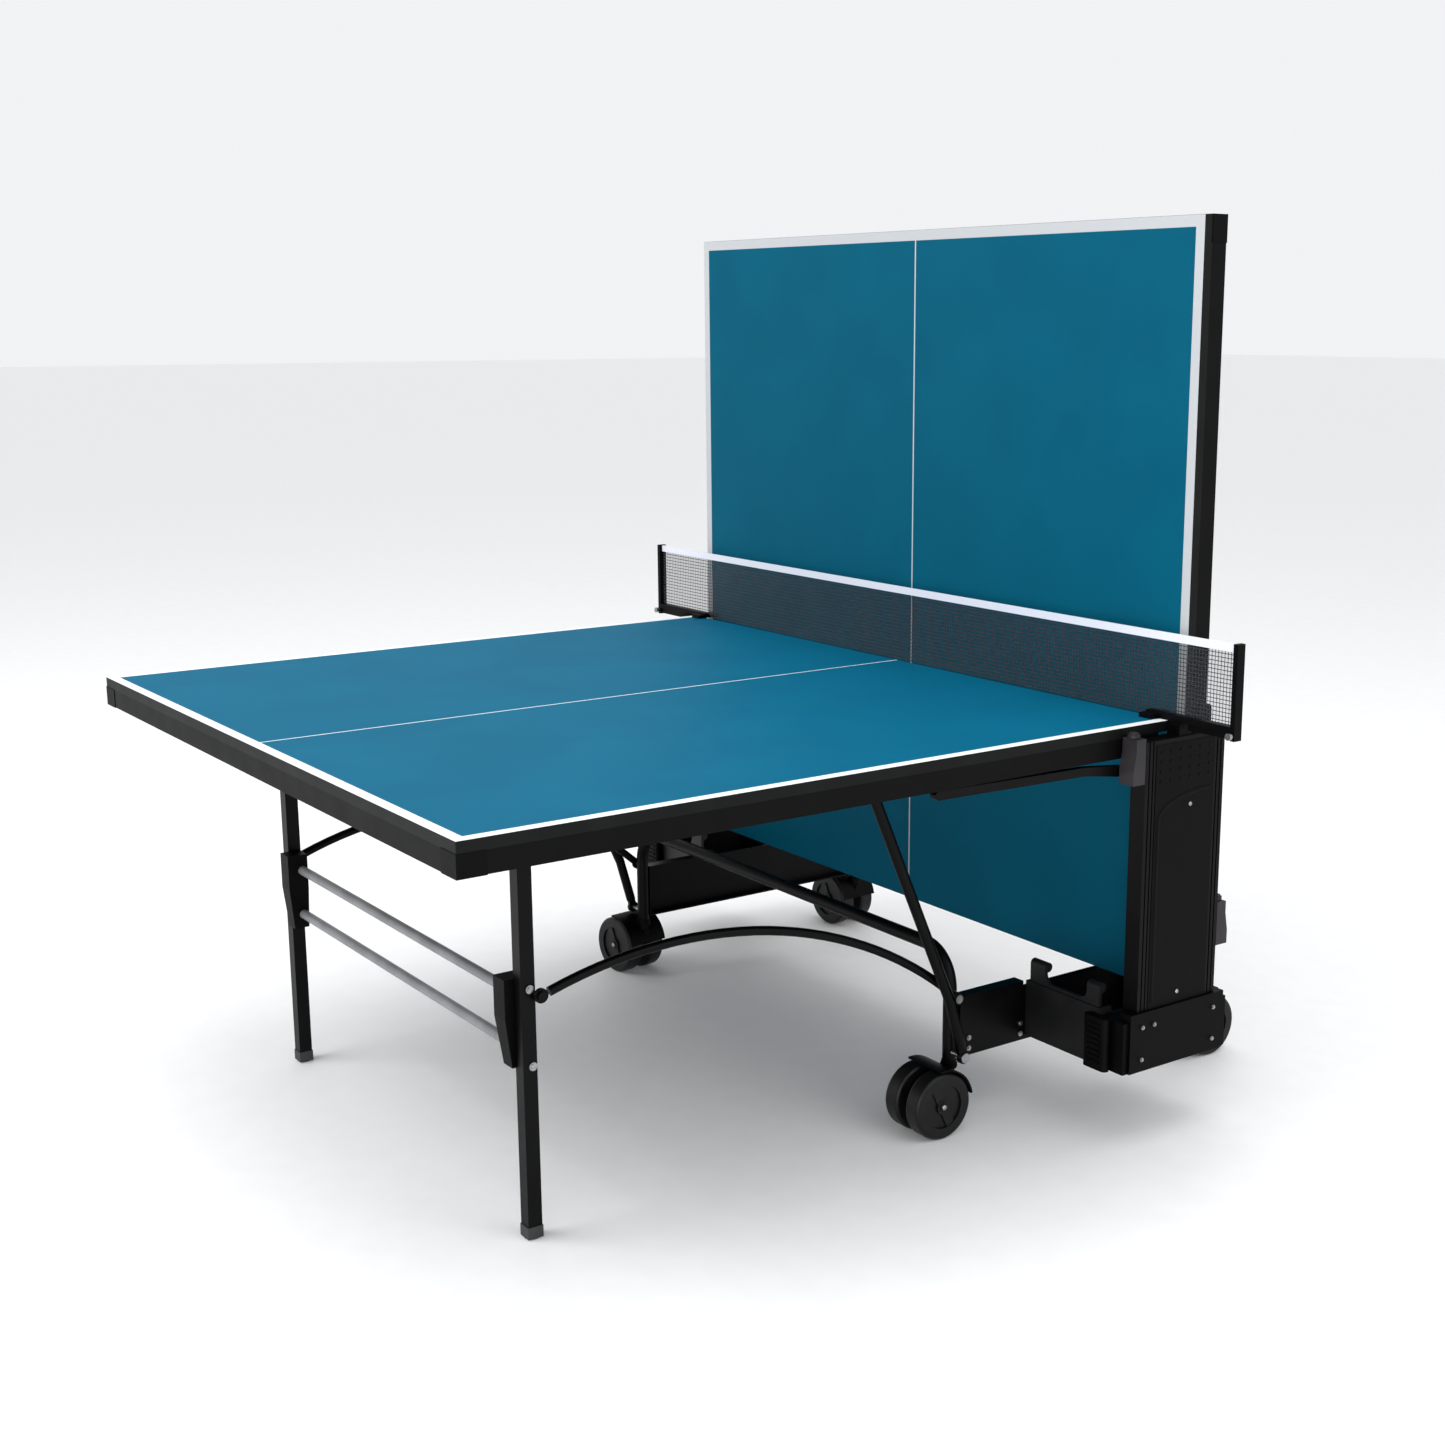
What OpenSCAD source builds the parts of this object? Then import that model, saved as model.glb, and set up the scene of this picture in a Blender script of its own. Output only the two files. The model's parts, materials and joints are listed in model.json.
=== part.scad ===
// Folding ping pong table in the playback position: front half down, rear half up.
// X runs along the net, Y from the front half to the raised rear half, Z up.

/* [Playing halves] */
// Width of a half, along the net
half_w = 1525; // [1300:5:1900]
// Length of a half, from the net to the end
half_l = 1370; // [1250:5:1700]
// Height of the playing surface above the floor
table_h = 760; // [740:1:920]
// Thickness of the board
board_t = 18; // [12:1:25]
// Depth of the apron rail under the board
apron_d = 35; // [25:1:45]
// Thickness of an apron rail
apron_t = 24; // [15:1:30]
// Half of the gap between the two halves at the net
half_gap = 2.5; // [1.5:0.5:4]
// Setback of the net side rail from the net edge
net_rail_setback = 28; // [24:1:40]
// Wall of a corner cap
cap_t = 1; // [0.8:0.1:3]
// Length of a corner cap along each edge
cap_l = 46; // [30:1:70]

/* [Fold] */
// Distance of the hinge from the net edge of a half
hinge_u = 109.5; // [95:0.5:120]
// Depth of the hinge under the playing surface
hinge_w = 77; // [70:0.5:84]
// Drop of a carriage between playing and raised
carriage_drop = 327; // [300:1:335]
// Diameter of the hinge pins
hinge_pin_d = 10; // [8:0.5:12]
// Radial clearance of a running fit
run_fit = 0.05; // [0.02:0.01:0.1]

/* [Legs] */
// Distance of a leg from the middle
leg_x = 475; // [380:1:500]
// Distance of the leg hinge from the net edge
leg_u = 1125; // [1050:1:1180]
// Depth of the leg hinge under the playing surface
leg_w = 45; // [42:0.5:50]
// Side of the square leg tube
leg_s = 25; // [20:1:28]
// Lean of a folded leg away from its raised board, in degrees
leg_lean = 12; // [8:0.5:20]
// Diameter of the leg cross bars
bar_d = 18; // [12:0.5:22]
// Height of the upper cross bar
bar_z_top = 404; // [360:1:440]
// Height of the lower cross bar
bar_z_low = 315; // [250:1:340]

/* [Chassis] */
// Distance of a column from the middle
column_x = 531; // [520:1:600]
// Distance of a column from the net plane
column_y = 300; // [280:1:380]
// Diameter of the chassis tube
column_d = 25; // [20:0.5:30]
// Height of the bottom end of a column
column_z = 128; // [120:1:135]
// Height of the cross tube centre
cross_z = 333; // [300:1:350]
// Bend radius of the cross tube
bend_r = 70; // [50:1:90]
// Wall of the steel tubes
tube_wall = 1.5; // [1:0.1:3]
// Lowest height of the side beams and trays
beam_z = 133; // [130:1:150]
// Height of the beam section
beam_h = 115; // [95:1:118]
// Thickness of sheet steel
sheet_t = 3; // [2:0.5:4]
// Half length of a tray
tray_y = 130; // [115:1:150]

/* [Masts] */
// Thickness of a mast
mast_t = 34.5; // [28:0.5:45]
// Half width of a mast
mast_y = 98; // [80:1:98]
// Height of the mast top
mast_top = 738; // [700:1:742]

/* [Casters] */
// Diameter of a wheel
wheel_d = 125; // [100:1:130]
// Thickness of one wheel
wheel_t = 36; // [25:1:40]
// Gap between the twin wheels
wheel_gap = 22; // [18:1:30]
// Trail of the axle behind the swivel
trail = 50; // [40:1:60]
// Axle diameter
axle_d = 8; // [6:0.5:10]

/* [Net] */
// Height of the net above the playing surface
net_h = 152.5; // [120:0.5:190]
// Overhang of a post beyond the table edge
net_over = 152.5; // [125:0.5:190]
// Width of the top tape
tape_h = 14; // [10:1:20]

/* [Hidden] */
$fn = 48;
half_x = half_w / 2;
rail_bottom = board_t + apron_d;
hinge_y = half_gap + hinge_u;
hinge_z = table_h - hinge_w;
raised_y = hinge_y - hinge_w;
raised_z = hinge_z - carriage_drop - hinge_u;
wheel_r = wheel_d / 2;
rear_reach = column_y + trail + wheel_r;
front_reach = half_gap + half_l + cap_t;
y_shift = (front_reach - rear_reach) / 2;
side_gap = 3;
mast_x = half_x + side_gap;
tray_x0 = column_x + column_d / 2 + sheet_t + 1.5;
post_x = half_x + net_over;
post_t = 10;
leg_drop = table_h - leg_w;
stiffener_d = 10;
arm_t = 14;
arm_r = 7.5;
arm_x = half_x - arm_t - 1;
arm_end_w = rail_bottom + arm_r + 0.2;
brace_x = column_x + 41;
brace_d = 20;
brace_pin_d = 10;
brace_foot = [-column_y - 2, column_z + 17];
brace_bend = [-column_y - 34, column_z + 130];
brace_top_y = -column_y - 236;
brace_top_w = 42;
brace_top = [brace_top_y, table_h - brace_top_w];
brace_x_lug = brace_x - 14;
arch_d = 16;
arch_eye_t = 6;
arch_foot = [-column_y, column_z + 122];
arch_end = [-half_gap - leg_u + 17.5, leg_drop - 304];
arch_foot_x = column_x + column_d / 2 + 9.5;
arch_end_x = leg_x + leg_s / 2 + 9.5;
arch_rise = 115;
arch_chord = norm(arch_foot - arch_end);
arch_r = (arch_chord * arch_chord / 4 + arch_rise * arch_rise) / (2 * arch_rise);
arch_half = asin(arch_chord / 2 / arch_r);
arch_tilt = atan2(arch_end[1] - arch_foot[1], arch_foot[0] - arch_end[0]);
arch_splay = atan2(arch_foot_x - arch_end_x, arch_foot[0] - arch_end[0]);
stem_top = column_z + 40;
fork_r = wheel_r + 4;
// swivel angle of each caster: front right, rear right, front left, rear left
CASTERS = [
    [1, -1, 0],
    [1, 1, 180],
    [-1, -1, -84],
    [-1, 1, -87],
];

// ---- placing ----

module shifted() { translate([0, y_shift, 0]) children(); }
module both_sides() { for (side = [0, 1]) mirror([side, 0, 0]) children(); }
module front() { shifted() children(); }
module rear() { shifted() mirror([0, 1, 0]) children(); }
module half_down() { front() translate([0, -half_gap, table_h]) children(); }
module half_up() { rear() translate([0, -raised_y, raised_z]) rotate([-90, 0, 0]) children(); }
module legs_down() { front() translate([0, -half_gap - leg_u, leg_drop]) children(); }
module legs_up() {
    rear() translate([0, -raised_y - leg_w, raised_z + leg_u]) rotate([-leg_lean, 0, 0]) children();
}

// box between two corners
module span(lo, hi) { translate(lo) cube(hi - lo); }
// rod along X from x0 to x1 at (y, z)
module rod_x(x0, x1, y, z, r) { translate([x0, y, z]) rotate([0, 90, 0]) cylinder(r = r, h = x1 - x0); }
// low dome, a bolt head facing +X at x
module dome_x(x, y, z, r) {
    translate([x, y, z]) rotate([0, 90, 0]) cylinder(r = r, h = 3);
    translate([x + 2.5, y, z]) rotate([0, 90, 0]) cylinder(r = r * 0.62, h = 2.5);
}

// ---- playing halves, drawn level with the net edge at y = 0 and the surface at z = 0 ----

module board() {
    color("teal") span([-half_x, -half_l, -board_t], [half_x, 0, 0]);
}

module apron() {
    gap = 0.2;
    color("black") {
        both_sides() span([half_x - apron_t, -half_l, -rail_bottom], [half_x, -net_rail_setback, -board_t]);
        inner = half_x - apron_t - gap;
        span([-inner, -half_l, -rail_bottom], [inner, -half_l + apron_t, -board_t]);
        span([-inner, -net_rail_setback - apron_t, -rail_bottom], [inner, -net_rail_setback, -board_t]);
    }
}

module corner_caps() {
    fit = 0.1;
    color("dimgray") both_sides() difference() {
        span([half_x - cap_l, -half_l - cap_t, -rail_bottom - 0.8], [half_x + cap_t, -half_l + cap_l, -board_t]);
        span([half_x - cap_l - 1, -half_l - fit, -rail_bottom - fit], [half_x + fit, -half_l + cap_l + 1, 1]);
    }
}

module stiffeners() {
    inner = half_x - apron_t - 0.3;
    color("black") for (u = [190, 640, 1040])
        span([-inner, -u - 30, -board_t - stiffener_d], [inner, -u + 30, -board_t]);
}

module slider_arms() {
    low = [-hinge_u, -hinge_w];
    knee = [-hinge_u - 90, -hinge_w + 11];
    tip = [-hinge_u - 414, -arm_end_w];
    color("dimgray") both_sides() difference() {
        union() {
            hull() {
                rod_x(arm_x, arm_x + arm_t, low[0], low[1], arm_r + 2, $fn = 32);
                rod_x(arm_x, arm_x + arm_t, knee[0], knee[1], arm_r, $fn = 32);
            }
            hull() {
                rod_x(arm_x, arm_x + arm_t, knee[0], knee[1], arm_r, $fn = 32);
                rod_x(arm_x, arm_x + arm_t, tip[0], tip[1], arm_r, $fn = 32);
            }
        }
        rod_x(arm_x - 1, arm_x + arm_t + 1, low[0], low[1], hinge_pin_d / 2 + run_fit);
    }
}

module brace_lugs() {
    slot_u = [475, 534];
    color("dimgray") both_sides() difference() {
        span([brace_x_lug - 3, -580, -brace_top_w - 20], [brace_x_lug, -410, -board_t]);
        hull() for (u = slot_u) rod_x(brace_x_lug - 4, brace_x_lug + 1, -u, -brace_top_w, 6, $fn = 32);
    }
}

module leg_hinges() {
    in = leg_s / 2 + 0.5;
    color("dimgray") both_sides() {
        for (side = [-1, 1]) {
            x0 = leg_x + side * (in + sheet_t / 2) - sheet_t / 2;
            span([x0, -leg_u - 22, -leg_w - 14], [x0 + sheet_t, -leg_u + 22, -board_t - sheet_t]);
        }
        span([leg_x - 24, -leg_u - 22, -board_t - sheet_t], [leg_x + 24, -leg_u + 22, -board_t]);
        rod_x(leg_x - in - sheet_t - 1, leg_x + in + sheet_t + 1, -leg_u, -leg_w, hinge_pin_d / 2);
    }
}

// ---- legs, drawn with the leg hinge at y = 0, z = 0 ----

module legs() {
    wall = tube_wall;
    s = leg_s / 2;
    color("black") both_sides() difference() {
        span([leg_x - s, -s, -leg_drop + 8], [leg_x + s, s, s]);
        span([leg_x - s + wall, -s + wall, -leg_drop + 7], [leg_x + s - wall, s - wall, -20]);
        rod_x(leg_x - s - 1, leg_x + s + 1, 0, 0, hinge_pin_d / 2 + run_fit);
    }
}

module feet() {
    s = leg_s / 2 + 1.2;
    color("gray") both_sides() difference() {
        union() {
            span([leg_x - s, -s, -leg_drop + 2], [leg_x + s, s, -leg_drop + 22]);
            translate([leg_x, 0, -leg_drop]) cylinder(r = s - 1, h = 3);
        }
        span([leg_x - s + 1.1, -s + 1.1, -leg_drop + 7.9], [leg_x + s - 1.1, s - 1.1, -leg_drop + 40]);
    }
}

module bar_brackets() {
    top = bar_z_top - table_h + leg_w;
    low = bar_z_low - table_h + leg_w;
    x1 = leg_x - leg_s / 2 - 0.1;
    x0 = x1 - 37;
    color("black") both_sides() difference() {
        union() {
            hull() {
                span([x0 + 8, -leg_s / 2 - 6, low - 28], [x1, leg_s / 2 - 2, low]);
                span([x0, -leg_s / 2 - 16, top - 36], [x1, leg_s / 2 - 2, top - 16]);
            }
            span([x0, -leg_s / 2 - 16, top - 17], [x1, leg_s / 2 - 2, top + 31]);
        }
        for (z = [low, top]) rod_x(x0 - 9, x0 + 20, 0, z, bar_d / 2 + 0.05);
    }
}

module cross_bars() {
    end = leg_x - leg_s / 2 - 18;
    color("gray") for (z = [bar_z_low, bar_z_top])
        rod_x(-end, end, 0, z - table_h + leg_w, bar_d / 2);
}

module leg_bolts() {
    x = leg_x + leg_s / 2;
    color("silver") both_sides() {
        dome_x(x, 2, bar_z_top + 18 - leg_drop, 7);
        dome_x(x, 4, bar_z_low - 21 - leg_drop, 7);
    }
}

// ---- folding links, drawn in the front frame with the half down ----

module link_rod(a, b, r) {
    d = b - a;
    translate([0, a[0], a[1]]) rotate([-atan2(d[0], d[1]), 0, 0]) cylinder(r = r, h = norm(d));
}

module link_bar(a, b, wide, thick) {
    d = b - a;
    translate([0, a[0], a[1]]) rotate([-atan2(d[0], d[1]), 0, 0])
        translate([-thick / 2, -wide / 2, 0]) cube([thick, wide, norm(d)]);
}

module braces() {
    bore = brace_pin_d / 2 + run_fit;
    thick = 8;
    x0 = brace_x - thick / 2;
    x1 = brace_x + thick / 2;
    bend_in = [0.8, -3];
    color("black") both_sides() {
        difference() {
            union() {
                translate([brace_x, 0, 0]) {
                    link_rod(brace_foot + [-5, 18], brace_bend - bend_in, brace_d / 2);
                    link_rod(brace_bend + bend_in, brace_top + [8, -18], brace_d / 2);
                    link_bar(brace_foot, brace_foot + [-6, 21], 16, thick);
                    link_bar(brace_top + [9, -21], brace_top, 16, thick);
                }
                rod_x(x0, x1, brace_foot[0], brace_foot[1], 12);
                rod_x(x0, x1, brace_top[0], brace_top[1], 9);
            }
            rod_x(x0 - 8, x1 + 8, brace_foot[0], brace_foot[1], bore);
        }
        rod_x(x1, x1 + 6, brace_top[0], brace_top[1], 7);
    }
}

module arch_tube() {
    // centre of the arc, in the plane of the arch with the foot at the origin
    rotate([0, 0, -arch_splay]) rotate([-arch_tilt, 0, 0]) {
        translate([0, -arch_chord / 2, -(arch_r - arch_rise)])
        rotate([0, 90, 0]) rotate([0, 0, 180 - arch_half + 0.9])
        rotate_extrude(angle = 2 * arch_half - 1.8, $fn = 180)
        translate([arch_r, 0]) circle(r = arch_d / 2, $fn = 32);
    }
}

module arches() {
    bore = brace_pin_d / 2 + run_fit;
    t = arch_eye_t / 2;
    color("black") both_sides() {
        difference() {
            union() {
                translate([arch_foot_x, arch_foot[0], arch_foot[1]]) arch_tube();
                rod_x(arch_foot_x - t, arch_foot_x + t, arch_foot[0], arch_foot[1], 12);
                rod_x(arch_end_x - t, arch_end_x + t, arch_end[0], arch_end[1], 12);
            }
            rod_x(arch_foot_x - 12, arch_foot_x + 12, arch_foot[0], arch_foot[1], bore);
        }
        rod_x(arch_end_x + t, arch_end_x + t + 4, arch_end[0], arch_end[1], 8);
    }
}

// swing of a link from rest to raised, by its length and its raised end
function swing(foot, tip, goal) =
    atan2(goal[0] - foot[0], goal[1] - foot[1]) - atan2(tip[0] - foot[0], tip[1] - foot[1]);
brace_len = norm(brace_top - brace_foot);
brace_up_y = -raised_y - brace_top_w;
brace_up_z = brace_foot[1] + sqrt(brace_len * brace_len - pow(brace_up_y - brace_foot[0], 2));
brace_swing = swing(brace_foot, brace_top, [brace_up_y, brace_up_z]);
leg_hole = arch_end - [-half_gap - leg_u, leg_drop];
arch_up = [
    -raised_y - leg_w + leg_hole[0] * cos(leg_lean) + leg_hole[1] * sin(leg_lean),
    raised_z + leg_u - leg_hole[0] * sin(leg_lean) + leg_hole[1] * cos(leg_lean),
];
arch_swing = swing(arch_foot, arch_end, arch_up);
module swung(foot, angle) {
    translate([0, foot[0], foot[1]]) rotate([-angle, 0, 0]) translate([0, -foot[0], -foot[1]]) children();
}

// ---- chassis, drawn in the front frame ----

module u_path(r) {
    bend_z = cross_z - bend_r;
    translate([0, -column_y, 0]) {
        both_sides() {
            translate([column_x, 0, column_z]) cylinder(r = r, h = bend_z - column_z);
            translate([column_x - bend_r, 0, bend_z]) rotate([90, 0, 0])
                rotate_extrude(angle = 90) translate([bend_r, 0]) circle(r = r);
        }
        rod_x(-column_x + bend_r, column_x - bend_r, 0, cross_z, r);
    }
}

module u_frame() {
    color("black") difference() {
        u_path(column_d / 2);
        u_path(column_d / 2 - tube_wall);
        for (side = [-1, 1]) translate([side * column_x, -column_y, column_z - 1])
            cylinder(r = column_d / 2 - tube_wall, h = 3);
    }
}

module side_beams() {
    x0 = column_x + column_d / 2;
    y1 = column_y - column_d / 2;
    top = beam_z + beam_h;
    flange = 22;
    dip = raised_z - 7;
    color("black") both_sides() difference() {
        union() {
            span([x0, -y1, beam_z], [x0 + sheet_t, y1, top]);
            for (z = [beam_z, top - sheet_t]) span([x0 - flange, -y1, z], [x0 + 1, y1, z + sheet_t]);
            for (y = [-y1, y1 - sheet_t]) span([x0 - flange, y, beam_z], [x0 + 1, y + sheet_t, top]);
        }
        span([x0 - flange - 1, -tray_y - 5, dip], [x0 + sheet_t + 1, tray_y + 5, top + 1]);
    }
}

module trays() {
    x1 = half_x - 22.5;
    low = beam_z + 9;
    top = low + 107;
    low_top = raised_z - 11;
    wall = sheet_t;
    color("dimgray") both_sides() difference() {
        span([tray_x0, -tray_y, low], [x1, tray_y, top]);
        span([tray_x0 + wall, -tray_y + wall, low + wall], [x1 - wall, tray_y - wall, top + 1]);
        span([tray_x0 - 1, -tray_y + 30, low_top], [x1 + 1, tray_y - 30, top + 1]);
    }
}

module tray_cradles() {
    x0 = tray_x0 + 8;
    x1 = half_x - 28;
    low = beam_z + 9 + sheet_t + 0.1;
    top = low + 138;
    fin_w = 39;
    y1 = -tray_y + sheet_t + 0.2;
    round_r = 18;
    color("gray") for (turn = [0, 1]) mirror([0, turn, 0]) both_sides() difference() {
        union() {
            span([x0, y1, low], [x1, y1 + 7, top]);
            rod_x(x0, x0 + fin_w, y1 + 9, top, 9);
            rod_x(x1 - fin_w + 8, x1, y1 + 9, top, 9);
        }
        hull() for (x = [x0 + fin_w + round_r, x1 - fin_w + 8 - round_r], z = [top - 28 + round_r, top + 80])
            translate([x, y1 - 1, z]) rotate([-90, 0, 0]) cylinder(r = round_r, h = 40, $fn = 32);
    }
}

module masts() {
    x1 = mast_x + mast_t;
    groove = 3;
    color("black") both_sides() difference() {
        span([mast_x, -mast_y, beam_z + 7], [x1, mast_y, mast_top]);
        span([x1 - 3, -mast_y + 25, beam_z + 119], [x1 + 1, mast_y - 25, mast_top - 8]);
        for (side = [-1, 1], y = [mast_y - 9, mast_y - 18])
            span([x1 - 2, side * y - groove / 2, beam_z], [x1 + 1, side * y + groove / 2, mast_top + 1]);
    }
}

module mast_covers() {
    x1 = mast_x + mast_t;
    fit = 0.2;
    color("black") both_sides()
        span([x1 - 3, -mast_y + 25 + fit, beam_z + 119 + fit], [x1 + 1, mast_y - 25 - fit, mast_top - 8 - fit]);
}

module side_bases() {
    x1 = mast_x + mast_t;
    low = beam_z + 9;
    top = low + 109;
    wide = mast_y + 20;
    post_y = tray_y + 0.5;
    color("black") both_sides() {
        span([x1 + 0.1, -wide, low], [x1 + 6, wide, top]);
        for (turn = [0, 1]) mirror([0, turn, 0]) {
            span([half_x - 21, -wide - 12, low], [x1 + 1, -mast_y - 0.1, top - 14]);
            span([x1 - 20, -wide, low], [x1 + 1, -mast_y - 0.1, top]);
            span([half_x - 38, -post_y - 17, low], [half_x + 2, -post_y, top - 12]);
            translate([half_x - 38, -post_y - 8.5, low]) cylinder(r = 8.5, h = 97);
            translate([half_x + 2, -post_y - 8.5, low]) cylinder(r = 8.5, h = 97);
            for (z = [low + 12 : 10 : low + 88])
                span([half_x - 34, -post_y - 19, z], [half_x - 4, -post_y - 16, z + 4]);
        }
    }
}

module net_seats() {
    color("black") both_sides() difference() {
        span([mast_x + 3, -15, mast_top], [mast_x + mast_t - 3, 15, table_h + 0.4]);
        span([mast_x + 10, -16, mast_top + 5], [mast_x + mast_t - 10, 16, table_h - 5]);
    }
}

module chassis_bolts() {
    x0 = column_x + column_d / 2;
    web = x0 + sheet_t;
    skirt = mast_x + mast_t + 6;
    pin_r = brace_pin_d / 2;
    color("silver") both_sides() {
        for (turn = [0, 1]) mirror([0, turn, 0]) {
            rod_x(x0, brace_x + 5, brace_foot[0], brace_foot[1], pin_r);
            rod_x(brace_x + 4.5, brace_x + 8, brace_foot[0], brace_foot[1], 9);
            rod_x(x0, arch_foot_x + 3.4, arch_foot[0], arch_foot[1], pin_r);
            rod_x(arch_foot_x + 3.4, arch_foot_x + 5.6, arch_foot[0], arch_foot[1], 8);
            for (y = [-tray_y - 12, -column_y + 32], z = [beam_z + 14, beam_z + 34]) dome_x(web, y, z, 5);
            dome_x(skirt, -mast_y + 8, beam_z + 92, 4);
            dome_x(skirt, -mast_y + 8, beam_z + 32, 4);
        }
        dome_x(skirt, -mast_y + 37, beam_z + 92, 4);
    }
}

// ---- carriages, drawn in the front frame with the half down ----

knob_y = -hinge_y;
block_top = hinge_z + 62;
knob_stem = 4;

module carriages() {
    back = -mast_y - 0.8;
    x0 = mast_x + 0.3;
    x1 = mast_x + mast_t;
    low = hinge_z - 18;
    color("dimgray") both_sides() difference() {
        union() {
            translate([x0, 0, 0]) rotate([90, 0, 90]) linear_extrude(x1 - x0) polygon([
                [back, low], [-hinge_y - 15, low], [-hinge_y - 15, hinge_z + 7],
                [-hinge_y - 9, hinge_z + 40], [-hinge_y - 9, block_top], [back, block_top],
            ]);
            rod_x(arm_x - 2, x0 + 1, -hinge_y, hinge_z, hinge_pin_d / 2);
        }
        translate([(x0 + x1) / 2, knob_y, block_top - 16]) cylinder(r = knob_stem + run_fit, h = 17);
    }
}

module lock_knobs() {
    x = mast_x + 0.15 + mast_t / 2;
    color("dimgray") both_sides() translate([x, knob_y, 0]) {
        translate([0, 0, block_top - 12]) cylinder(r = knob_stem, h = 14);
        translate([0, 0, block_top + 1]) cylinder(r = 11, h = 6);
        translate([0, 0, block_top + 5]) cylinder(r = 8, h = 5);
    }
}
module dropped() { translate([0, 0, -carriage_drop]) children(); }

// ---- net set ----

arm_low = table_h + 0.8;
arm_top = arm_low + 11;
jaw_x = half_x - 53;

module net_cloth() {
    end = post_x - post_t - 0.2;
    thick = 0.8;
    color("midnightblue") shifted() difference() {
        span([-end, -thick, table_h + 2], [end, thick, table_h + net_h - tape_h - 0.1]);
        both_sides() span([jaw_x - 0.5, -5, table_h], [end + 1, 5, arm_top + 0.3]);
    }
}

module net_tape() {
    end = post_x - post_t - 0.2;
    color("white") shifted() span([-end, -2.2, table_h + net_h - tape_h], [end, 2.2, table_h + net_h]);
}

module net_posts() {
    color("black") shifted() both_sides()
        span([post_x - post_t, -9, table_h - 12], [post_x, 9, table_h + net_h + 1.5]);
}

module net_arms() {
    end = post_x - post_t - 0.1;
    color("black") shifted() both_sides() {
        span([jaw_x, -9, arm_low], [end, 9, arm_top]);
        span([jaw_x, -26, arm_low], [jaw_x + 30, 26, arm_low + 8]);
        span([mast_x + mast_t + 8, -7, table_h - 10], [end, 7, arm_low + 1]);
    }
}

module net_screws() {
    x = post_x - post_t / 2;
    color("silver") shifted() both_sides() translate([x, -9.1, table_h - 3]) rotate([90, 0, 0]) {
        cylinder(r = 3, h = 8);
        translate([0, 0, 5]) cylinder(r = 6, h = 6);
    }
}

// ---- casters, drawn with the swivel axis at x = 0, y = 0 ----

wheel_out = wheel_gap / 2 + wheel_t;
module at_caster(i) {
    c = CASTERS[i];
    shifted() translate([c[0] * column_x, c[1] * column_y, 0]) rotate([0, 0, c[2]]) children();
}
module about_axle() { translate([0, -trail, wheel_r]) rotate([0, 90, 0]) children(); }

module fork() {
    plug_r = column_d / 2 - tube_wall - run_fit;
    color("black") {
        translate([0, 0, wheel_r + 34]) cylinder(r = wheel_gap / 2 - 0.5, h = 20);
        translate([0, 0, wheel_r + 50]) cylinder(r = 14, h = column_z - wheel_r - 50.3);
        translate([0, 0, column_z - 1]) cylinder(r = plug_r, h = stem_top - column_z);
        for (z = [wheel_r + 53 : 5 : column_z - 5]) translate([0, 0, z]) cylinder(r = 15.5, h = 2);
        hull() {
            rod_x(-8, 8, -trail, wheel_r, 13, $fn = 32);
            span([-8, -14, wheel_r + 30], [8, 12, wheel_r + 40]);
        }
        about_axle() rotate([0, 0, 100]) rotate_extrude(angle = 86, $fn = 96)
            translate([fork_r - 1.5, -wheel_out]) square([3.5, 2 * wheel_out]);
        rod_x(-wheel_out + 3, wheel_out - 3, -trail, wheel_r, axle_d / 2);
    }
}

module wheel(side) {
    bore = axle_d / 2 + run_fit;
    round_r = 7;
    x0 = wheel_gap / 2;
    rim = wheel_r - 22;
    color("black") mirror([side, 0, 0]) about_axle() {
        rotate_extrude($fn = 96) difference() {
            union() {
                translate([bore, x0]) square([wheel_r - round_r - bore, wheel_t]);
                translate([bore, x0 + round_r]) square([wheel_r - bore, wheel_t - 2 * round_r]);
                for (x = [x0 + round_r, x0 + wheel_t - round_r])
                    translate([wheel_r - round_r, x]) circle(r = round_r);
            }
            translate([14, x0 + wheel_t - 4]) square([rim - 14, 5]);
        }
        for (turn = [0, 180]) rotate([0, 0, turn + 25]) difference() {
            span([10, -9, x0 + wheel_t - 5], [rim + 1, 9, x0 + wheel_t - 1]);
            translate([0, 0, x0]) cylinder(r = 9, h = wheel_t);
        }
        translate([0, 0, x0 + wheel_t - 0.1]) cylinder(r = 9, h = 1.6);
    }
}

front() u_frame();  // front_u_frame
rear() u_frame();  // rear_u_frame
shifted() side_beams();
shifted() trays();
shifted() tray_cradles();
shifted() masts();
shifted() mast_covers();
shifted() side_bases();
shifted() net_seats();
shifted() chassis_bolts();
front() carriages();  // front_carriages
rear() dropped() carriages();  // rear_carriages
front() lock_knobs();  // front_lock_knobs
rear() dropped() lock_knobs();  // rear_lock_knobs
half_down() board();  // front_board
half_down() apron();  // front_apron
half_down() corner_caps();  // front_corner_caps
half_down() stiffeners();  // front_stiffeners
half_down() slider_arms();  // front_slider_arms
half_down() brace_lugs();  // front_brace_lugs
half_down() leg_hinges();  // front_leg_hinges
half_up() board();  // rear_board
half_up() apron();  // rear_apron
half_up() corner_caps();  // rear_corner_caps
half_up() stiffeners();  // rear_stiffeners
half_up() slider_arms();  // rear_slider_arms
half_up() brace_lugs();  // rear_brace_lugs
half_up() leg_hinges();  // rear_leg_hinges
legs_down() legs();  // front_legs
legs_down() feet();  // front_feet
legs_down() bar_brackets();  // front_bar_brackets
legs_down() cross_bars();  // front_cross_bars
legs_down() leg_bolts();  // front_leg_bolts
legs_up() legs();  // rear_legs
legs_up() feet();  // rear_feet
legs_up() bar_brackets();  // rear_bar_brackets
legs_up() cross_bars();  // rear_cross_bars
legs_up() leg_bolts();  // rear_leg_bolts
front() braces();  // front_braces
rear() swung(brace_foot, brace_swing) braces();  // rear_braces
front() arches();  // front_arches
rear() swung(arch_foot, arch_swing) arches();  // rear_arches
net_cloth();
net_tape();
net_posts();
net_arms();
net_screws();
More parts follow.
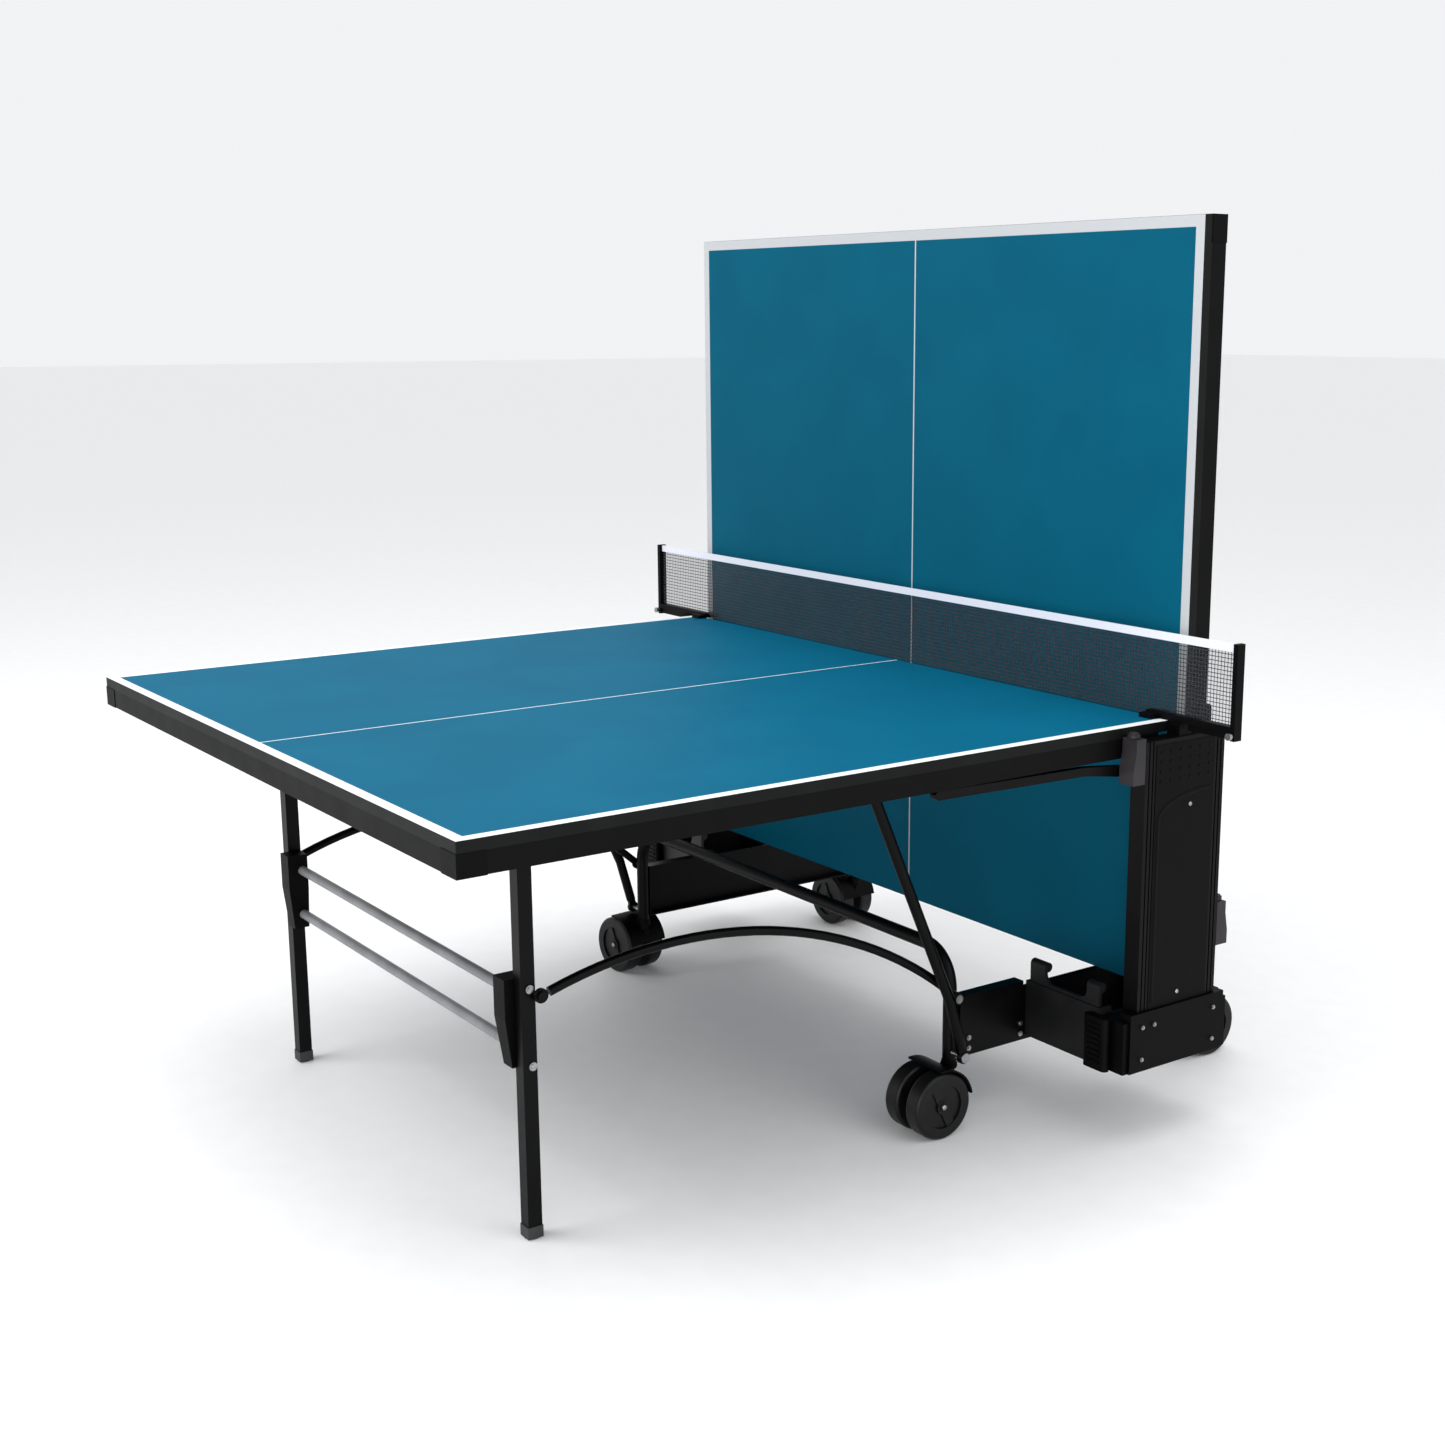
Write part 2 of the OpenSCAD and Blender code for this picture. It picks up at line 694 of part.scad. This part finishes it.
at_caster(0) fork();  // fork_front_right
at_caster(1) fork();  // fork_rear_right
at_caster(2) fork();  // fork_front_left
at_caster(3) fork();  // fork_rear_left
at_caster(0) wheel(0);  // wheel_front_right_a
at_caster(0) wheel(1);  // wheel_front_right_b
at_caster(1) wheel(0);  // wheel_rear_right_a
at_caster(1) wheel(1);  // wheel_rear_right_b
at_caster(2) wheel(0);  // wheel_front_left_a
at_caster(2) wheel(1);  // wheel_front_left_b
at_caster(3) wheel(0);  // wheel_rear_left_a
at_caster(3) wheel(1);  // wheel_rear_left_b
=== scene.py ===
"""Ping pong table in the playback position: materials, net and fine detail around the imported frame."""
import json
import math

import bpy
import numpy as np
from mathutils import Matrix, Vector


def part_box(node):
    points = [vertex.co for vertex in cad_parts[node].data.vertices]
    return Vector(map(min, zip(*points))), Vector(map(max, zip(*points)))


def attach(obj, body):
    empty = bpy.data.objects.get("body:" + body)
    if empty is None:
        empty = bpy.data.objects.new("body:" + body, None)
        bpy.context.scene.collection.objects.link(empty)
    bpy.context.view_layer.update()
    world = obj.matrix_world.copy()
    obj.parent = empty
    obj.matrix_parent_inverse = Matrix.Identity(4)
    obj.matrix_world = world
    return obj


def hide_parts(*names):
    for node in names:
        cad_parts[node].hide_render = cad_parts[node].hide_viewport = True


# ---- camera: a square frame ----
SENSOR_MM = 36.0
AZIMUTH = math.radians(53.68)
ELEVATION = math.radians(12.2)
CAMERA_AT = Vector((3.083, -2.002, 1.446))
LENS = 48.59
SHIFT = (-0.0628, 0.0122)

camera = bpy.data.cameras.new("camera")
camera.sensor_width = SENSOR_MM
camera.lens = LENS
camera.shift_x, camera.shift_y = SHIFT
camera.clip_end = 200.0
camera_object = bpy.data.objects.new("camera", camera)
bpy.context.scene.collection.objects.link(camera_object)
back = Vector((
    math.sin(AZIMUTH) * math.cos(ELEVATION),
    -math.cos(AZIMUTH) * math.cos(ELEVATION),
    math.sin(ELEVATION),
))
right = Vector((math.cos(AZIMUTH), math.sin(AZIMUTH), 0.0))
up = back.cross(right)
turn = Matrix((right, up, back)).transposed().to_4x4()
camera_object.matrix_world = Matrix.Translation(CAMERA_AT) @ turn
bpy.context.scene.camera = camera_object

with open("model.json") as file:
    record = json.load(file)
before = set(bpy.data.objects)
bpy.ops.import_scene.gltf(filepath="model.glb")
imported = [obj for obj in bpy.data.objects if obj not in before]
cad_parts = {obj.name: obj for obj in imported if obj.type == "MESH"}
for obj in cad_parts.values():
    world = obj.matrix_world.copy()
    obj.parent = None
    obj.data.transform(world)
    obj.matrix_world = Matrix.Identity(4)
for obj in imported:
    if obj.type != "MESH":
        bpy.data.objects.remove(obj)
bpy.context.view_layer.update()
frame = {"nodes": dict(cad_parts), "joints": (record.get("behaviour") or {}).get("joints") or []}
nodes = frame["nodes"]


# ---- material helpers ----
def linear(hex_colour, alpha=1.0):
    """An sRGB hex colour as linear RGBA."""
    value = hex_colour.lstrip("#")
    out = []
    for i in (0, 2, 4):
        c = int(value[i:i + 2], 16) / 255.0
        out.append(c / 12.92 if c <= 0.04045 else ((c + 0.055) / 1.055) ** 2.4)
    return (*out, alpha)


def add(tree, kind, sockets=None, **settings):
    """Add a node; settings are its properties, sockets maps an input to a value or an output to link."""
    made = tree.nodes.new("ShaderNode" + kind)
    for name, value in settings.items():
        setattr(made, name, value)
    for name, value in (sockets or {}).items():
        if isinstance(value, bpy.types.NodeSocket):
            tree.links.new(value, made.inputs[name])
        else:
            made.inputs[name].default_value = value
    return made


def start(name, roughness, **fixed):
    """A material with a Principled shader, and Object coordinates to draw its patterns with."""
    made = bpy.data.materials.new(name)
    made.use_nodes = True
    tree = made.node_tree
    shader = tree.nodes["Principled BSDF"]
    shader.inputs["Roughness"].default_value = roughness
    for key, value in fixed.items():
        shader.inputs[key.replace("_", " ")].default_value = value
    place = add(tree, "TexCoord").outputs["Object"]
    return made, tree, shader, place


def noise(tree, place, size_mm, detail=2.0):
    """Noise whose features are about size_mm across."""
    made = add(tree, "TexNoise", {"Vector": place, "Scale": 1000.0 / size_mm, "Detail": detail})
    return made.outputs["Fac"]


def mottle(tree, fac, dark, light):
    """Two close colours mixed by a pattern."""
    ramp = add(tree, "ValToRGB", {"Fac": fac})
    ramp.color_ramp.elements[0].position = 0.35
    ramp.color_ramp.elements[1].position = 0.65
    ramp.color_ramp.elements[0].color = linear(dark)
    ramp.color_ramp.elements[1].color = linear(light)
    return ramp.outputs["Color"]


def relief(tree, shader, fac, depth_mm, strength=0.5):
    """Bump of a real depth from a pattern."""
    made = add(tree, "Bump", {"Height": fac, "Distance": depth_mm / 1000.0, "Strength": strength})
    tree.links.new(made.outputs["Normal"], shader.inputs["Normal"])


def surface(name, dark, light, roughness, grain_mm, depth_mm, patch_mm=60.0, spread=0.08, **fixed):
    """A solid finish: mottled colour, a fine grain in relief, and roughness that varies in patches."""
    made, tree, shader, place = start(name, roughness, **fixed)
    grain = noise(tree, place, grain_mm)
    patch = noise(tree, place, patch_mm, 3.0)
    tree.links.new(mottle(tree, patch, dark, light), shader.inputs["Base Color"])
    low, high = roughness - spread, roughness + spread
    varied = add(tree, "MapRange", {"Value": patch, "To Min": low, "To Max": high})
    tree.links.new(varied.outputs["Result"], shader.inputs["Roughness"])
    relief(tree, shader, grain, depth_mm)
    return made


# Powder coat on steel tube: deep black, satin, with a fine orange peel about 2 mm across.
powder_coat = surface("black_powder_coat", "#020202", "#050505", 0.38, 2.2, 0.05, Specular_IOR_Level=0.1)
# The same coat on the deep apron rails, a little duller.
apron_coat = surface("apron_powder_coat", "#020202", "#050505", 0.5, 2.0, 0.04, Specular_IOR_Level=0.08)
# Moulded ABS with a spark-eroded grain, drawn coarser than real so that it shows.
moulded_black = surface("moulded_black_abs", "#010102", "#040405", 0.5, 1.4, 0.08, Specular_IOR_Level=0.07)
# The carriage blocks and knobs are a warm grey glass-filled nylon.
moulded_grey = surface("grey_filled_nylon", "#232123", "#2C292C", 0.55, 1.2, 0.08, Specular_IOR_Level=0.25)
# The trays are a dark grey moulding, dull.
tray_plastic = surface("tray_polypropylene", "#0C0C0D", "#131314", 0.5, 1.6, 0.08, Specular_IOR_Level=0.3)
# Grey enamel on the cross bars.
bar_enamel = surface("grey_enamel", "#6C6D70", "#7E8083", 0.38, 3.0, 0.03, spread=0.05)
# Zinc plated steel: bright, slightly cloudy.
zinc_plate = surface("zinc_plated_steel", "#86888A", "#A5A7A9", 0.34, 0.9, 0.02, patch_mm=9.0, Metallic=1.0)
# Foot caps: dark grey polyethylene.
foot_plastic = surface("foot_polyethylene", "#1C1C1E", "#262628", 0.55, 1.5, 0.06)
# Woven polyester tape, folded over the top of the net, its bands about 2.9 mm apart.
TAPE_BANDS = 110.0
tape_cloth, tape_tree, tape_shader, tape_place = start("woven_tape", 0.8, Sheen_Weight=0.25)
tape_wave = add(tape_tree, "TexWave", {"Vector": tape_place, "Scale": TAPE_BANDS, "Distortion": 0.6})
tape_weave = tape_wave.outputs["Fac"]
tape_tree.links.new(mottle(tape_tree, tape_weave, "#D2D4E0", "#E2E4EC"), tape_shader.inputs["Base Color"])
relief(tape_tree, tape_shader, tape_weave, 0.15)


def wheel_rubber():
    """Moulded polyurethane, black, with a little dust and a fine grain."""
    made, tree, shader, place = start("wheel_polyurethane", 0.42, Specular_IOR_Level=0.25)
    dust = noise(tree, place, 25.0, 4.0)
    tree.links.new(mottle(tree, dust, "#040404", "#0A0A0A"), shader.inputs["Base Color"])
    relief(tree, shader, noise(tree, place, 1.5), 0.06)
    return made


# Where a line is painted: whether its coordinate counts on both sides of the middle, and how it compares.
LINE_RULES = {
    "above": (False, "GREATER_THAN"), "below": (False, "LESS_THAN"),
    "within": (True, "LESS_THAN"), "beyond": (True, "GREATER_THAN"),
}


def playing_paint(name, blue, blue_light, white, lines):
    """Matt playing paint with white lines; lines is a list of (axis, at, word of LINE_RULES)."""
    made, tree, shader, place = start(name, 0.62, Specular_IOR_Level=0.05)
    split = add(tree, "SeparateXYZ", {"Vector": place}).outputs
    painted = None
    for axis, at, rule in lines:
        both_sides, comparison = LINE_RULES[rule]
        value = split[axis]
        if both_sides:
            value = add(tree, "Math", {0: value}, operation="ABSOLUTE").outputs[0]
        line = add(tree, "Math", {0: value, 1: at}, operation=comparison).outputs[0]
        if painted is None:
            painted = line
        else:
            painted = add(tree, "Math", {0: painted, 1: line}, operation="MAXIMUM").outputs[0]
    cloud = noise(tree, place, 180.0, 3.0)
    base = mottle(tree, cloud, blue, blue_light)
    mixed = add(tree, "MixRGB", {"Fac": painted, "Color1": base, "Color2": linear(white)})
    tree.links.new(mixed.outputs["Color"], shader.inputs["Base Color"])
    relief(tree, shader, noise(tree, place, 1.2), 0.03, 0.35)
    return made


LINE_WIDTH = 0.020
HALF_CENTRE_LINE = 0.0018
x_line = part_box("front_board")[1][0] - LINE_WIDTH
front_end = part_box("front_board")[0][1] + LINE_WIDTH
rear_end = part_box("rear_board")[1][2] - LINE_WIDTH
front_paint = playing_paint(
    "blue_playing_paint", "#005C7A", "#00607E", "#E4E7E9",
    [(0, x_line, "beyond"), (1, front_end, "below"), (0, HALF_CENTRE_LINE, "within")],
)
# The raised half has the same paint as the front, drawn darker with its white lines grey: painted shade on
# the upright board.
rear_paint_shaded = playing_paint(
    "blue_playing_paint_raised_painted_shade", "#00526A", "#00566E", "#B8BABC",
    [(0, x_line, "beyond"), (2, rear_end, "above"), (0, HALF_CENTRE_LINE, "within")],
)
sealed_edge = surface("sealed_board_edge", "#060807", "#0C0F0D", 0.5, 1.8, 0.06, Specular_IOR_Level=0.12)
rubber = wheel_rubber()

FINISH = {
    "plain": powder_coat,
    "apron": apron_coat, "stiffeners": apron_coat,
    "corner_caps": moulded_black, "bar_brackets": moulded_black, "mast_covers": moulded_black,
    "side_bases": moulded_black, "net_seats": moulded_black, "net_arms": moulded_black,
    "net_posts": moulded_black, "fork": moulded_black,
    "carriages": moulded_grey, "lock_knobs": moulded_grey, "feet": foot_plastic,
    "trays": tray_plastic, "tray_cradles": tray_plastic,
    "cross_bars": bar_enamel, "bolts": zinc_plate, "screws": zinc_plate,
    "net_tape": tape_cloth, "wheel_": rubber,
    "front_board": sealed_edge, "rear_board": sealed_edge,
}


def finish_of(name):
    """The finish of a CAD node, by the longest of the words above that its name holds."""
    found = [word for word in FINISH if word in name]
    return FINISH[max(found, key=len)] if found else FINISH["plain"]


for name, piece in nodes.items():
    piece.data.materials.clear()
    piece.data.materials.append(finish_of(name))


# ---- mesh helpers ----
def mesh_piece(name, points, faces, material, body, smooth=True):
    """Put points and faces into a mesh piece that rides on a body."""
    data = bpy.data.meshes.new(name)
    data.from_pydata([tuple(p) for p in points], [], [tuple(int(i) for i in f) for f in faces])
    data.polygons.foreach_set("use_smooth", [smooth] * len(data.polygons))
    data.materials.append(material)
    data.update()
    made = bpy.data.objects.new(name, data)
    bpy.context.scene.collection.objects.link(made)
    if body:
        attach(made, body)
    return made


def grid_faces(rows, columns, closed=False):
    """Quads of a grid of rows by columns points; closed joins the last column to the first."""
    i = np.arange(rows - 1)[:, None]
    j = np.arange(columns if closed else columns - 1)[None, :]
    k = (j + 1) % columns
    quads = np.stack([i * columns + j, i * columns + k, (i + 1) * columns + k, (i + 1) * columns + j], -1)
    return quads.reshape(-1, 4)


def domes(name, centres, normal, radius, height, material, body, sides=14, rings=4):
    """Low round buttons: each is a quarter ellipse turned about normal at its centre, with a flat top."""
    drawn = 0.94  # share of the quarter ellipse below the flat top
    normal = np.array(normal, float)
    first = np.cross(normal, [0.0, 0.0, 1.0] if abs(normal[2]) < 0.9 else [1.0, 0.0, 0.0])
    second = np.cross(normal, first)
    a = np.linspace(0, 2 * np.pi, sides, endpoint=False)
    t = np.linspace(0, np.pi / 2 * drawn, rings)
    ring = np.cos(a)[:, None] * first + np.sin(a)[:, None] * second
    local = radius * np.cos(t)[:, None, None] * ring + height * np.sin(t)[:, None, None] * normal
    one = local.reshape(-1, 3)
    side = grid_faces(rings, sides, closed=True)
    points, faces = [], []
    for n, centre in enumerate(centres):
        base = n * len(one)
        points.append(one + np.array(centre))
        faces += (side + base).tolist()
        faces.append([base + i for i in range(sides)][::-1])
        faces.append([base + (rings - 1) * sides + i for i in range(sides)])
    return mesh_piece(name, np.concatenate(points), faces, material, body)


# ---- painted playing surfaces: a skin just proud of each board ----
def playing_skin(name, board, axis, sign, material, body):
    """A thin slab over one face of a board: its front is just proud of the face, its back inside it."""
    low, high = (np.array(v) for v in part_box(board))
    proud = 0.00025
    sunk = 0.0004
    inset = 0.0004  # from the face's outline
    level = high[axis] if sign > 0 else low[axis]
    u, v = [i for i in range(3) if i != axis]
    corners = []
    for depth in (proud, -sunk):
        for su, sv in ((0, 0), (1, 0), (1, 1), (0, 1)):
            point = np.zeros(3)
            point[u] = (low[u] + inset) if su == 0 else (high[u] - inset)
            point[v] = (low[v] + inset) if sv == 0 else (high[v] - inset)
            point[axis] = level + sign * depth
            corners.append(point)
    faces = [[0, 1, 2, 3], [7, 6, 5, 4]] + [[i, i + 4, (i + 1) % 4 + 4, (i + 1) % 4] for i in range(4)]
    right_handed = (axis == 2) == (sign > 0) or (axis == 1 and sign < 0)
    if not right_handed:
        faces = [f[::-1] for f in faces]
    return mesh_piece(name, corners, faces, material, body, smooth=False)


playing_skin("front_playing_surface", "front_board", 2, 1, front_paint, "front_half")
playing_skin("rear_playing_surface", "rear_board", 1, -1, rear_paint_shaded, "rear_half")


# ---- net ----
def net_cloth():
    """A stretched net: a grid over x and z, with a shallow belly and fine ripples that fade at its edges."""
    low, high = (np.array(v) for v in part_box("net_cloth"))
    columns, rows = 361, 29
    belly_depth, ripple_depth, ripple_turns = 0.0012, 0.0006, 61.0
    over_arm = 0.0008  # how far the bottom edge lies above an arm
    jaw_reach = 0.196  # from an arm's outer end in to the end of its jaw
    ramp = 0.012  # width over which the edge rises to the arm
    x = np.linspace(low[0], high[0], columns)
    z = np.linspace(low[2], high[2], rows)
    gx, gz = np.meshgrid(x, z)
    up_share = (gz - low[2]) / (high[2] - low[2])
    across = (gx - low[0]) / (high[0] - low[0])
    belly = np.sin(np.pi * across) * np.sin(np.pi * up_share)
    ripple = np.sin(across * ripple_turns + 2.0 * up_share) * np.sin(np.pi * up_share)
    middle = (low[1] + high[1]) / 2
    gy = middle + belly_depth * belly + ripple_depth * ripple
    # at both ends the bottom edge rises over the arms
    arm_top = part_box("net_arms")[1][2] + over_arm
    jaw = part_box("net_arms")[1][0] - jaw_reach
    lift = np.clip((np.abs(gx) - jaw + ramp) / ramp, 0.0, 1.0)
    gz = gz + lift * (1.0 - up_share) * (arm_top - low[2])
    cloth = mesh_piece(
        "net_mesh", np.stack([gx, gy, gz], -1).reshape(-1, 3), grid_faces(rows, columns), net_fabric(),
        "net_set",
    )
    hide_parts("net_cloth")


def net_fabric():
    """Knotless polyester net, drawn as cords on a 7.2 mm square mesh, coarse enough to show."""
    made, tree, shader, place = start("polyester_net", 0.75, Sheen_Weight=0.2)
    split = add(tree, "SeparateXYZ", {"Vector": place}).outputs
    cell = 0.0072
    cord_share = 0.2  # of a cell
    gap_cover = 0.28  # how solid the gaps between cords look
    hits = []
    for axis in (0, 2):
        turn = add(tree, "Math", {0: split[axis], 1: 1.0 / cell}, operation="MULTIPLY").outputs[0]
        part = add(tree, "Math", {0: turn}, operation="FRACT").outputs[0]
        hits.append(add(tree, "Math", {0: part, 1: cord_share}, operation="LESS_THAN").outputs[0])
    both = add(tree, "Math", {0: hits[0], 1: hits[1]}, operation="MAXIMUM").outputs[0]
    cover = add(tree, "Math", {0: both, 1: gap_cover}, operation="MAXIMUM").outputs[0]
    fuzz = noise(tree, place, 3.0)
    tree.links.new(mottle(tree, fuzz, "#0C1216", "#151C22"), shader.inputs["Base Color"])
    tree.links.new(cover, shader.inputs["Alpha"])
    return made


net_cloth()

# ---- mast covers: a grid of studs, two screws and an embossed rib on each ----
STUD_COLUMNS, STUD_ROWS = 6, 4
STUD_PITCH_Y, STUD_PITCH_Z, STUD_TOP_MARGIN = 0.024, 0.017, 0.014
STUD_RADIUS, STUD_HEIGHT = 0.003, 0.0012
SCREW_RADIUS, SCREW_HEIGHT = 0.0045, 0.0024
RIB_HALF_WIDTH, RIB_HEIGHT, RIB_SUNK = 0.004, 0.0016, 0.0002
RIB_STEPS, RIB_ROUND = 60, 9
RIB_FRONT, RIB_ACROSS, RIB_RISE = 0.064, 0.128, 0.045
RIB_FOOT_MARGIN, RIB_KNEE_DROP = 0.012, 0.135
RIB_STRAIGHT = 0.6  # share of the steps up to the knee
RIB_DRIFT = 1e-5  # the straight part leans back by a hair

cover_low, cover_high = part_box("mast_covers")
centre_y = (cover_low[1] + cover_high[1]) / 2


def cover_studs(side, word):
    """Rows of studs below the cover's top edge."""
    face_x = side * cover_high[0]
    spots = [
        (
            face_x,
            centre_y + (i - (STUD_COLUMNS - 1) / 2) * STUD_PITCH_Y,
            cover_high[2] - STUD_TOP_MARGIN - j * STUD_PITCH_Z,
        )
        for i in range(STUD_COLUMNS) for j in range(STUD_ROWS)
    ]
    domes(
        f"cover_studs_{word}", spots, (side, 0, 0), STUD_RADIUS, STUD_HEIGHT, moulded_black,
        "chassis", sides=10,
    )


def cover_screws(side, word):
    """One screw under the curve of the rib, and one at the cover's foot."""
    face_x = side * cover_high[0]
    screws = [(face_x, centre_y + 0.015, cover_high[2] - 0.115), (face_x, centre_y, cover_low[2] + 0.02)]
    domes(
        f"cover_screws_{word}", screws, (side, 0, 0), SCREW_RADIUS, SCREW_HEIGHT, zinc_plate,
        "chassis",
    )


def cover_rib(side, word):
    """A rib: straight up beside the front edge, then a quarter ellipse across to the rear edge."""
    t = np.linspace(0.0, 1.0, RIB_STEPS)
    bend = np.clip((t - RIB_STRAIGHT) / (1.0 - RIB_STRAIGHT), 0.0, 1.0) * np.pi / 2
    foot_z = cover_low[2] + RIB_FOOT_MARGIN
    knee_z = cover_high[2] - RIB_KNEE_DROP
    rib_y = centre_y - RIB_FRONT + RIB_ACROSS * (1.0 - np.cos(bend)) + RIB_DRIFT * t
    rib_z = foot_z + np.clip(t / RIB_STRAIGHT, 0.0, 1.0) * (knee_z - foot_z)
    rib_z = rib_z + RIB_RISE * np.sin(bend)
    a = np.linspace(0, np.pi, RIB_ROUND)
    run = np.stack([np.gradient(rib_y), np.gradient(rib_z)], -1)
    run /= np.linalg.norm(run, axis=1)[:, None]
    points = np.stack([
        side * cover_high[0] + side * (RIB_HEIGHT * np.sin(a)[None, :] - RIB_SUNK) + 0 * t[:, None],
        rib_y[:, None] + RIB_HALF_WIDTH * np.cos(a)[None, :] * run[:, 1:2],
        rib_z[:, None] - RIB_HALF_WIDTH * np.cos(a)[None, :] * run[:, 0:1],
    ], -1)
    faces = grid_faces(RIB_STEPS, RIB_ROUND)
    if side > 0:
        faces = faces[:, ::-1]
    mesh_piece(f"cover_rib_{word}", points.reshape(-1, 3), faces, moulded_black, "chassis")


for side, word in ((1, "right"), (-1, "left")):
    cover_studs(side, word)
    cover_screws(side, word)
    cover_rib(side, word)

# ---- a bolt in the middle of each wheel's outer face ----
HUB_FACE = 0.0484  # from the middle of a caster's axle out to its hub's face
HUB_BOLT_RADIUS, HUB_BOLT_HEIGHT = 0.0055, 0.003
for joint in frame["joints"]:
    if joint["name"].startswith("roll_"):
        way = 1.0 if joint["name"].endswith("_a") else -1.0
        outwards = way * np.array(joint["axis"], float)
        middle = np.array(joint["pos_m"], float) + outwards * HUB_FACE
        caster = joint["name"].removeprefix("roll_")
        domes(
            f"hub_bolt_{caster}", [middle], outwards, HUB_BOLT_RADIUS, HUB_BOLT_HEIGHT, zinc_plate,
            joint["child"],
        )

# ---- floor, backdrop and lights ----
FLOOR = 60.0
floor_material = surface("pale_floor", "#F4F4F4", "#F6F6F6", 0.6, 40.0, 0.05)
floor = mesh_piece(
    "floor",
    [(-FLOOR, -FLOOR, 0), (FLOOR, -FLOOR, 0), (FLOOR, FLOOR, 0), (-FLOOR, FLOOR, 0)],
    [[0, 1, 2, 3]], floor_material, None,
)


def area_light(name, at, towards, size, watts):
    """A soft square light at a place, turned to a point."""
    made = bpy.data.lights.new(name, "AREA")
    made.size = size
    made.energy = watts
    lamp = bpy.data.objects.new(name, made)
    lamp.location = at
    lamp.rotation_euler = (Vector(at) - Vector(towards)).to_track_quat("Z", "Y").to_euler()
    bpy.context.scene.collection.objects.link(lamp)


area_light("key_light", (-1.5, -4.0, 4.6), (0, 0, 0.6), 3.5, 150)
area_light("top_light", (0.6, 0.2, 4.8), (0, 0, 0.6), 4.5, 80)
area_light("side_light", (4.6, 1.2, 2.6), (0, 0.3, 0.6), 3.0, 45)
area_light("low_fill", (3.4, -2.6, 0.5), (0.2, 0.5, 0.5), 1.6, 60)
world = bpy.data.worlds.new("studio")
world.use_nodes = True
world.node_tree.nodes["Background"].inputs["Color"].default_value = linear("#F7F8FA")
world.node_tree.nodes["Background"].inputs["Strength"].default_value = 0.95
bpy.context.scene.world = world
bpy.context.scene.view_settings.view_transform = "Standard"
